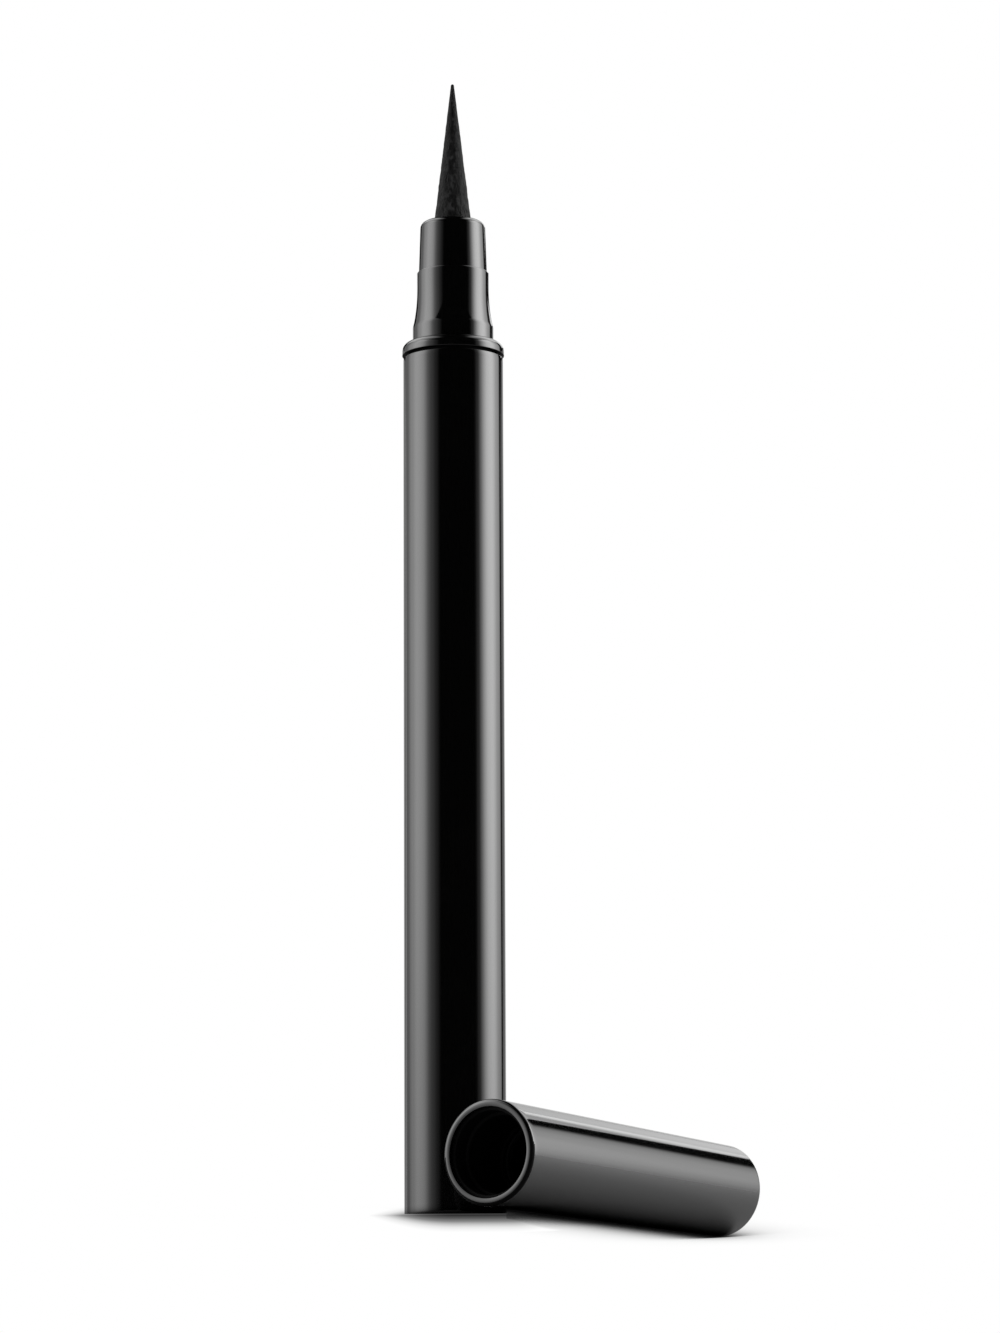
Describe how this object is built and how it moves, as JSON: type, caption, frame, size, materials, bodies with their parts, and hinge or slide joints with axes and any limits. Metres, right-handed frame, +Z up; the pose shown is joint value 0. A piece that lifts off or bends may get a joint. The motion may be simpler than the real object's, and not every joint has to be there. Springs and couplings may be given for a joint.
{
  "type": "liquid eyeliner pen",
  "caption": "Felt-tip liquid eyeliner pen standing uncapped on its flat base, its cap lying beside it; draws fine lines with ink fed from an inner tank.",
  "frame": {"origin": "centre of the pen's flat base, on the surface that it stands on", "axes": "+Z up the pen towards its tip, +Y along the lying cap from its mouth to its closed end, +X from the pen towards the cap"},
  "size_m": [0.0215, 0.0451, 0.1204],
  "materials": {
    "barrel": "gloss black",
    "nozzle": "gloss black",
    "plug": "matt black",
    "seal": "matt",
    "tank": "translucent natural",
    "natural_plastic": "natural white",
    "fibre": "bonded fibre",
    "felt": "ink-soaked felt",
    "ball_steel": "polished",
    "spring_steel": "drawn wire"
  },
  "bodies": {
    "pen": {"barrel": "barrel", "tail_plug": "plug", "tail_seal_ring": "seal", "ink_tank": "tank", "tank_stopper": "natural_plastic", "collector": "natural_plastic", "collector_core": "fibre", "collector_seal_ring": "seal", "overflow_pad": "fibre", "nozzle": "nozzle", "nozzle_seal_ring": "seal", "collar": "nozzle", "tip_holder": "nozzle", "tip_clip": "natural_plastic", "felt_tip": "felt"},
    "ball": {"mixing_ball": "ball_steel"},
    "cap": {"cap_shell": "barrel", "cap_liner": "plug", "cap_spring": "spring_steel"},
    "cup": {"inner_cap": "plug", "inner_cap_seal": "seal"}
  },
  "joints": [
    {"name": "cap_lift", "type": "slide", "parent": "pen", "child": "cap", "axis": [0, 0, 1], "range_m": [0, 0.125]},
    {"name": "inner_cap_slide", "type": "slide", "parent": "cap", "child": "cup", "axis": [0, 0.9999, -0.0116], "range_m": [0, 0.0032], "stiffness_N_per_m": 150, "springref_m": -0.004, "deforming": ["cap_spring"]},
    {"name": "mixing_ball_slide", "type": "slide", "parent": "pen", "child": "ball", "axis": [0, 0, 1], "range_m": [0, 0.042]}
  ]
}
